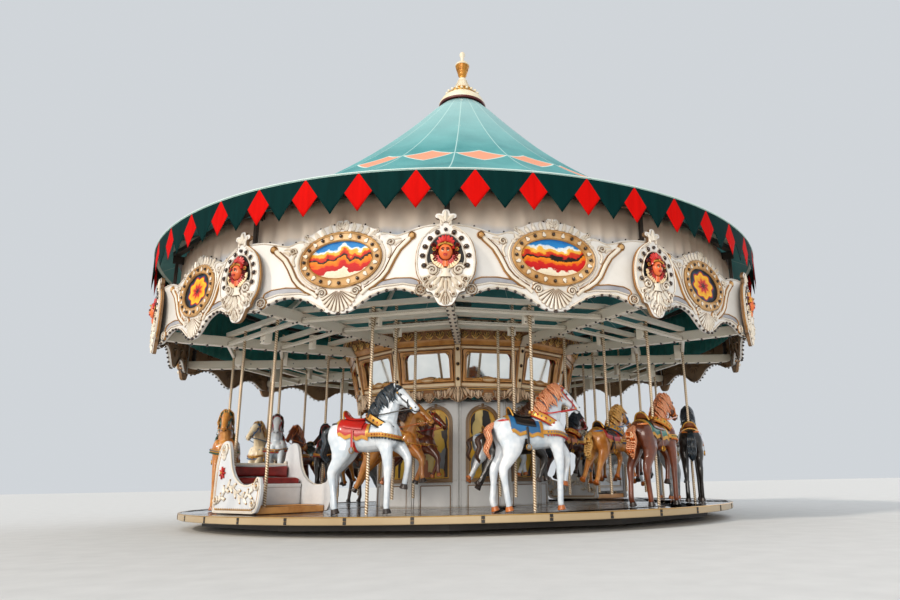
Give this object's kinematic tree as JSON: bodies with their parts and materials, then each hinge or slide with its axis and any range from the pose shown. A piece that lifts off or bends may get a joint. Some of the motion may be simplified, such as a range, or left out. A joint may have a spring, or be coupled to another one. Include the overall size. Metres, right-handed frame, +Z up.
{
  "type": "fairground carousel",
  "caption": "Galloper ride with a turning deck, rising horses, bench chariots, mirrored crown, painted rounding boards and a conical canopy.",
  "frame": {"origin": "centre of the plinth's underside on the ground, on the mast's axis", "axes": "+Z up along the mast, -Y through the front shield, +X to the viewer's right from the front"},
  "size_m": [11.552, 11.552, 10.3176],
  "materials": {
    "dark_paint": "dark satin paint",
    "mast_steel": "dull steel",
    "drum_paint": "light grey satin paint",
    "cream_paint": "cream satin paint",
    "canopy_cloth": "teal coated cloth with peach diamonds near the rim",
    "valance_cloth": "red diamonds and dark green points",
    "curtain_cloth": "beige canvas",
    "gold_paint": "gold paint",
    "board_paint": "white gloss paint with ochre lines",
    "deck_wood": "glossy dark deck with a tan skirt",
    "crown_wood": "gold and tan painted carving",
    "mirror_glass": "mirror",
    "horse_paint": "painted coats with coloured trappings",
    "chariot_paint": "pale grey paint with carved trim"
  },
  "bodies": {
    "base": {"drum_plinth": "dark_paint", "center_mast": "mast_steel", "center_drum": "drum_paint"},
    "turning_frame": {"hub": "cream_paint", "sweeps": "cream_paint", "purlin_ring_inner": "cream_paint", "purlin_ring_middle": "cream_paint", "purlin_ring_outer": "cream_paint", "eave_ring": "dark_paint", "rafters": "cream_paint", "canopy": "canopy_cloth", "valance": "valance_cloth", "curtain": "curtain_cloth", "roof_cap": "gold_paint", "finial": "gold_paint", "rounding_boards_1": "board_paint", "rounding_boards_2": "board_paint", "rounding_boards_3": "board_paint", "rounding_boards_4": "board_paint", "rounding_boards_5": "board_paint", "rounding_boards_6": "board_paint", "deck": "deck_wood", "deck_frame": "dark_paint", "crown": "crown_wood", "crown_mirrors": "mirror_glass", "crown_cornice": "crown_wood", "crown_lambrequin": "crown_wood", "outer_horse_1": "horse_paint", "outer_horse_2": "horse_paint", "outer_horse_3": "horse_paint", "outer_horse_4": "horse_paint", "outer_horse_5": "horse_paint", "outer_horse_6": "horse_paint", "outer_horse_7": "horse_paint", "outer_horse_8": "horse_paint", "outer_horse_9": "horse_paint", "outer_horse_10": "horse_paint", "chariot_1": "chariot_paint", "chariot_2": "chariot_paint"},
    "middle_horse_1": {"middle_horse_1": "horse_paint"},
    "middle_horse_2": {"middle_horse_2": "horse_paint"},
    "middle_horse_3": {"middle_horse_3": "horse_paint"},
    "middle_horse_4": {"middle_horse_4": "horse_paint"},
    "middle_horse_5": {"middle_horse_5": "horse_paint"},
    "middle_horse_6": {"middle_horse_6": "horse_paint"},
    "middle_horse_7": {"middle_horse_7": "horse_paint"},
    "middle_horse_8": {"middle_horse_8": "horse_paint"},
    "middle_horse_9": {"middle_horse_9": "horse_paint"},
    "middle_horse_10": {"middle_horse_10": "horse_paint"},
    "inner_horse_1": {"inner_horse_1": "horse_paint"},
    "inner_horse_2": {"inner_horse_2": "horse_paint"},
    "inner_horse_3": {"inner_horse_3": "horse_paint"},
    "inner_horse_4": {"inner_horse_4": "horse_paint"},
    "inner_horse_5": {"inner_horse_5": "horse_paint"},
    "inner_horse_6": {"inner_horse_6": "horse_paint"},
    "inner_horse_7": {"inner_horse_7": "horse_paint"},
    "inner_horse_8": {"inner_horse_8": "horse_paint"},
    "inner_horse_9": {"inner_horse_9": "horse_paint"},
    "inner_horse_10": {"inner_horse_10": "horse_paint"}
  },
  "joints": [
    {"name": "carousel_spin", "type": "hinge", "parent": "base", "child": "turning_frame", "pos_m": [0, 0, 0], "axis": [0, 0, 1], "continuous": true},
    {"name": "middle_horse_1_rise", "type": "slide", "parent": "turning_frame", "child": "middle_horse_1", "axis": [0, 0, 1], "range_m": [-0.15, 0.15]},
    {"name": "middle_horse_2_rise", "type": "slide", "parent": "turning_frame", "child": "middle_horse_2", "axis": [0, 0, 1], "range_m": [-0.15, 0.15]},
    {"name": "middle_horse_3_rise", "type": "slide", "parent": "turning_frame", "child": "middle_horse_3", "axis": [0, 0, 1], "range_m": [-0.15, 0.15]},
    {"name": "middle_horse_4_rise", "type": "slide", "parent": "turning_frame", "child": "middle_horse_4", "axis": [0, 0, 1], "range_m": [-0.15, 0.15]},
    {"name": "middle_horse_5_rise", "type": "slide", "parent": "turning_frame", "child": "middle_horse_5", "axis": [0, 0, 1], "range_m": [-0.15, 0.15]},
    {"name": "middle_horse_6_rise", "type": "slide", "parent": "turning_frame", "child": "middle_horse_6", "axis": [0, 0, 1], "range_m": [-0.15, 0.15]},
    {"name": "middle_horse_7_rise", "type": "slide", "parent": "turning_frame", "child": "middle_horse_7", "axis": [0, 0, 1], "range_m": [-0.15, 0.15]},
    {"name": "middle_horse_8_rise", "type": "slide", "parent": "turning_frame", "child": "middle_horse_8", "axis": [0, 0, 1], "range_m": [-0.15, 0.15]},
    {"name": "middle_horse_9_rise", "type": "slide", "parent": "turning_frame", "child": "middle_horse_9", "axis": [0, 0, 1], "range_m": [-0.15, 0.15]},
    {"name": "middle_horse_10_rise", "type": "slide", "parent": "turning_frame", "child": "middle_horse_10", "axis": [0, 0, 1], "range_m": [-0.15, 0.15]},
    {"name": "inner_horse_1_rise", "type": "slide", "parent": "turning_frame", "child": "inner_horse_1", "axis": [0, 0, 1], "range_m": [-0.15, 0.15]},
    {"name": "inner_horse_2_rise", "type": "slide", "parent": "turning_frame", "child": "inner_horse_2", "axis": [0, 0, 1], "range_m": [-0.15, 0.15]},
    {"name": "inner_horse_3_rise", "type": "slide", "parent": "turning_frame", "child": "inner_horse_3", "axis": [0, 0, 1], "range_m": [-0.15, 0.15]},
    {"name": "inner_horse_4_rise", "type": "slide", "parent": "turning_frame", "child": "inner_horse_4", "axis": [0, 0, 1], "range_m": [-0.15, 0.15]},
    {"name": "inner_horse_5_rise", "type": "slide", "parent": "turning_frame", "child": "inner_horse_5", "axis": [0, 0, 1], "range_m": [-0.15, 0.15]},
    {"name": "inner_horse_6_rise", "type": "slide", "parent": "turning_frame", "child": "inner_horse_6", "axis": [0, 0, 1], "range_m": [-0.15, 0.15]},
    {"name": "inner_horse_7_rise", "type": "slide", "parent": "turning_frame", "child": "inner_horse_7", "axis": [0, 0, 1], "range_m": [-0.15, 0.15]},
    {"name": "inner_horse_8_rise", "type": "slide", "parent": "turning_frame", "child": "inner_horse_8", "axis": [0, 0, 1], "range_m": [-0.15, 0.15]},
    {"name": "inner_horse_9_rise", "type": "slide", "parent": "turning_frame", "child": "inner_horse_9", "axis": [0, 0, 1], "range_m": [-0.15, 0.15]},
    {"name": "inner_horse_10_rise", "type": "slide", "parent": "turning_frame", "child": "inner_horse_10", "axis": [0, 0, 1], "range_m": [-0.15, 0.15]}
  ],
  "couplings": [
    {"joint": "middle_horse_2_rise", "follows": "middle_horse_1_rise", "ratio": -1},
    {"joint": "middle_horse_3_rise", "follows": "middle_horse_1_rise", "ratio": 1},
    {"joint": "middle_horse_4_rise", "follows": "middle_horse_1_rise", "ratio": -1},
    {"joint": "middle_horse_5_rise", "follows": "middle_horse_1_rise", "ratio": 1},
    {"joint": "middle_horse_6_rise", "follows": "middle_horse_1_rise", "ratio": -1},
    {"joint": "middle_horse_7_rise", "follows": "middle_horse_1_rise", "ratio": 1},
    {"joint": "middle_horse_8_rise", "follows": "middle_horse_1_rise", "ratio": -1},
    {"joint": "middle_horse_9_rise", "follows": "middle_horse_1_rise", "ratio": 1},
    {"joint": "middle_horse_10_rise", "follows": "middle_horse_1_rise", "ratio": -1},
    {"joint": "inner_horse_1_rise", "follows": "middle_horse_1_rise", "ratio": 1},
    {"joint": "inner_horse_2_rise", "follows": "middle_horse_1_rise", "ratio": -1},
    {"joint": "inner_horse_3_rise", "follows": "middle_horse_1_rise", "ratio": 1},
    {"joint": "inner_horse_4_rise", "follows": "middle_horse_1_rise", "ratio": -1},
    {"joint": "inner_horse_5_rise", "follows": "middle_horse_1_rise", "ratio": 1},
    {"joint": "inner_horse_6_rise", "follows": "middle_horse_1_rise", "ratio": -1},
    {"joint": "inner_horse_7_rise", "follows": "middle_horse_1_rise", "ratio": 1},
    {"joint": "inner_horse_8_rise", "follows": "middle_horse_1_rise", "ratio": -1},
    {"joint": "inner_horse_9_rise", "follows": "middle_horse_1_rise", "ratio": 1},
    {"joint": "inner_horse_10_rise", "follows": "middle_horse_1_rise", "ratio": -1}
  ]
}
